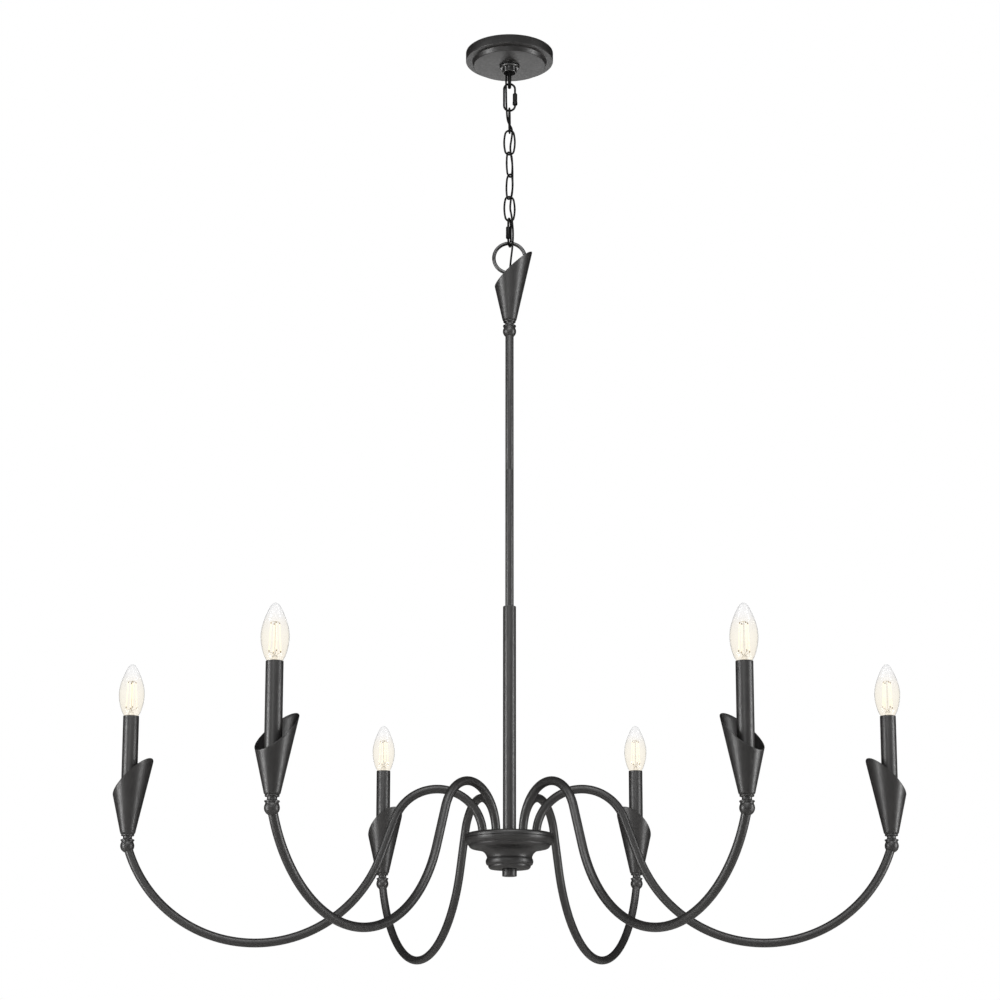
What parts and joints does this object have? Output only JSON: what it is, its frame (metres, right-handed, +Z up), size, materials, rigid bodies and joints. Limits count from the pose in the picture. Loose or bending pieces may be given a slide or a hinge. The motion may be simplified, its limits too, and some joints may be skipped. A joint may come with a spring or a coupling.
{
  "type": "chandelier",
  "caption": "Chandelier with curved tube arms, candle sleeves in slanted calla cups, a long stem, turned hub, oval chain and round canopy.",
  "frame": {"origin": "centre of the canopy on the ceiling plane", "axes": "+Z up out of the ceiling along the stem, +X to the right, -Y towards the viewer"},
  "size_m": [1.077, 0.958, 1.3017],
  "materials": {
    "matte_black_steel": "matte charcoal-black powder coat",
    "black_satin_steel": "satin black paint",
    "zinc_steel": "zinc plated",
    "socket_phenolic": "moulded",
    "black_cord": "matte",
    "clear_glass": "clear"
  },
  "bodies": {
    "ceiling_mount": {"crossbar": "zinc_steel", "canopy_loop": "black_satin_steel", "lead_cord": "black_cord"},
    "canopy": {"canopy": "matte_black_steel"},
    "canopy_collar": {"canopy_collar": "black_satin_steel"},
    "quick_link_upper": {"quick_link_upper": "black_satin_steel"},
    "quick_link_sleeve_upper": {"quick_link_sleeve_upper": "black_satin_steel"},
    "chain_link_1": {"chain_link_1": "black_satin_steel"},
    "chain_link_2": {"chain_link_2": "black_satin_steel"},
    "chain_link_3": {"chain_link_3": "black_satin_steel"},
    "chain_link_4": {"chain_link_4": "black_satin_steel"},
    "chain_link_5": {"chain_link_5": "black_satin_steel"},
    "quick_link_lower": {"quick_link_lower": "black_satin_steel"},
    "quick_link_sleeve_lower": {"quick_link_sleeve_lower": "black_satin_steel"},
    "hanging_ring": {"hanging_ring": "black_satin_steel"},
    "stem": {"top_stud": "matte_black_steel", "top_cup": "matte_black_steel", "top_coupler": "matte_black_steel", "stem_rods": "matte_black_steel", "stem_pipe": "matte_black_steel", "hub_plate": "matte_black_steel", "threaded_fasteners": "zinc_steel"},
    "hub_bowl": {"hub_bowl": "matte_black_steel"},
    "finial": {"finial": "matte_black_steel"},
    "arm_right": {"arm_right": "matte_black_steel", "coupler_right": "matte_black_steel", "cup_right": "matte_black_steel", "socket_right": "socket_phenolic", "candle_cover_right": "matte_black_steel"},
    "bulb_right": {"bulb_right": "clear_glass"},
    "arm_back_right": {"arm_back_right": "matte_black_steel", "coupler_back_right": "matte_black_steel", "cup_back_right": "matte_black_steel", "socket_back_right": "socket_phenolic", "candle_cover_back_right": "matte_black_steel"},
    "bulb_back_right": {"bulb_back_right": "clear_glass"},
    "arm_back_left": {"arm_back_left": "matte_black_steel", "coupler_back_left": "matte_black_steel", "cup_back_left": "matte_black_steel", "socket_back_left": "socket_phenolic", "candle_cover_back_left": "matte_black_steel"},
    "bulb_back_left": {"bulb_back_left": "clear_glass"},
    "arm_left": {"arm_left": "matte_black_steel", "coupler_left": "matte_black_steel", "cup_left": "matte_black_steel", "socket_left": "socket_phenolic", "candle_cover_left": "matte_black_steel"},
    "bulb_left": {"bulb_left": "clear_glass"},
    "arm_front_left": {"arm_front_left": "matte_black_steel", "coupler_front_left": "matte_black_steel", "cup_front_left": "matte_black_steel", "socket_front_left": "socket_phenolic", "candle_cover_front_left": "matte_black_steel"},
    "bulb_front_left": {"bulb_front_left": "clear_glass"},
    "arm_front_right": {"arm_front_right": "matte_black_steel", "coupler_front_right": "matte_black_steel", "cup_front_right": "matte_black_steel", "socket_front_right": "socket_phenolic", "candle_cover_front_right": "matte_black_steel"},
    "bulb_front_right": {"bulb_front_right": "clear_glass"}
  },
  "joints": [
    {"name": "canopy_drop", "type": "slide", "parent": "ceiling_mount", "child": "canopy", "axis": [0, 0, -1], "range_m": [0, 0.008]},
    {"name": "collar_turn", "type": "hinge", "parent": "canopy", "child": "canopy_collar", "pos_m": [0, 0, -0.02], "axis": [0, 0, 1], "continuous": true},
    {"name": "quick_link_upper_swing", "type": "hinge", "parent": "ceiling_mount", "child": "quick_link_upper", "pos_m": [0, 0, -0.0522], "axis": [0, 1, 0], "range_deg": [-10, 10], "deforming": ["lead_cord"]},
    {"name": "sleeve_upper_slide", "type": "slide", "parent": "quick_link_upper", "child": "quick_link_sleeve_upper", "axis": [0, 0, 1], "range_m": [0, 0.004]},
    {"name": "chain_link_1_swing", "type": "hinge", "parent": "quick_link_upper", "child": "chain_link_1", "pos_m": [0, 0, -0.0893], "axis": [1, 0, 0], "range_deg": [-10, 10], "deforming": ["lead_cord"]},
    {"name": "chain_link_2_swing", "type": "hinge", "parent": "chain_link_1", "child": "chain_link_2", "pos_m": [0, 0, -0.12305], "axis": [0.0698, 0.9976, 0], "range_deg": [-10, 10], "deforming": ["lead_cord"]},
    {"name": "chain_link_3_swing", "type": "hinge", "parent": "chain_link_2", "child": "chain_link_3", "pos_m": [0, 0, -0.1569], "axis": [-0.9976, 0.0698, 0], "range_deg": [-10, 10], "deforming": ["lead_cord"]},
    {"name": "chain_link_4_swing", "type": "hinge", "parent": "chain_link_3", "child": "chain_link_4", "pos_m": [0, 0, -0.19075], "axis": [-0.5299, -0.848, 0], "range_deg": [-10, 10], "deforming": ["lead_cord"]},
    {"name": "chain_link_5_swing", "type": "hinge", "parent": "chain_link_4", "child": "chain_link_5", "pos_m": [0, 0, -0.2246], "axis": [0.5736, -0.8192, 0], "range_deg": [-10, 10], "deforming": ["lead_cord"]},
    {"name": "quick_link_lower_swing", "type": "hinge", "parent": "chain_link_5", "child": "quick_link_lower", "pos_m": [0, 0, -0.25845], "axis": [0.9659, 0.2588, 0], "range_deg": [-10, 10], "deforming": ["lead_cord"]},
    {"name": "sleeve_lower_slide", "type": "slide", "parent": "quick_link_lower", "child": "quick_link_sleeve_lower", "axis": [0, 0, 1], "range_m": [0, 0.004]},
    {"name": "ring_swing", "type": "hinge", "parent": "quick_link_lower", "child": "hanging_ring", "pos_m": [0, 0, -0.29675], "axis": [-0.225, -0.9744, 0], "range_deg": [-10, 10], "deforming": ["lead_cord"]},
    {"name": "stem_swing", "type": "hinge", "parent": "hanging_ring", "child": "stem", "pos_m": [0, 0, -0.33715], "axis": [1, 0, 0], "range_deg": [-10, 10], "deforming": ["lead_cord"]},
    {"name": "arm_right_swivel", "type": "hinge", "parent": "stem", "child": "arm_right", "pos_m": [0.0367, 0, -1.14475], "axis": [0, 0, 1], "range_deg": [-15, 15]},
    {"name": "bulb_right_unscrew", "type": "slide", "parent": "arm_right", "child": "bulb_right", "axis": [0, 0, 1], "range_m": [0, 0.022]},
    {"name": "arm_back_right_swivel", "type": "hinge", "parent": "stem", "child": "arm_back_right", "pos_m": [0.01835, 0.03178, -1.14475], "axis": [0, 0, 1], "range_deg": [-15, 15]},
    {"name": "bulb_back_right_unscrew", "type": "slide", "parent": "arm_back_right", "child": "bulb_back_right", "axis": [0, 0, 1], "range_m": [0, 0.022]},
    {"name": "arm_back_left_swivel", "type": "hinge", "parent": "stem", "child": "arm_back_left", "pos_m": [-0.01835, 0.03178, -1.14475], "axis": [0, 0, 1], "range_deg": [-15, 15]},
    {"name": "bulb_back_left_unscrew", "type": "slide", "parent": "arm_back_left", "child": "bulb_back_left", "axis": [0, 0, 1], "range_m": [0, 0.022]},
    {"name": "arm_left_swivel", "type": "hinge", "parent": "stem", "child": "arm_left", "pos_m": [-0.0367, 0, -1.14475], "axis": [0, 0, 1], "range_deg": [-15, 15]},
    {"name": "bulb_left_unscrew", "type": "slide", "parent": "arm_left", "child": "bulb_left", "axis": [0, 0, 1], "range_m": [0, 0.022]},
    {"name": "arm_front_left_swivel", "type": "hinge", "parent": "stem", "child": "arm_front_left", "pos_m": [-0.01835, -0.03178, -1.14475], "axis": [0, 0, 1], "range_deg": [-15, 15]},
    {"name": "bulb_front_left_unscrew", "type": "slide", "parent": "arm_front_left", "child": "bulb_front_left", "axis": [0, 0, 1], "range_m": [0, 0.022]},
    {"name": "arm_front_right_swivel", "type": "hinge", "parent": "stem", "child": "arm_front_right", "pos_m": [0.01835, -0.03178, -1.14475], "axis": [0, 0, 1], "range_deg": [-15, 15]},
    {"name": "bulb_front_right_unscrew", "type": "slide", "parent": "arm_front_right", "child": "bulb_front_right", "axis": [0, 0, 1], "range_m": [0, 0.022]},
    {"name": "hub_bowl_drop", "type": "slide", "parent": "stem", "child": "hub_bowl", "axis": [0, 0, -1], "range_m": [0, 0.03]},
    {"name": "finial_turn", "type": "hinge", "parent": "hub_bowl", "child": "finial", "pos_m": [0, 0, -1.19325], "axis": [0, 0, 1], "continuous": true}
  ]
}
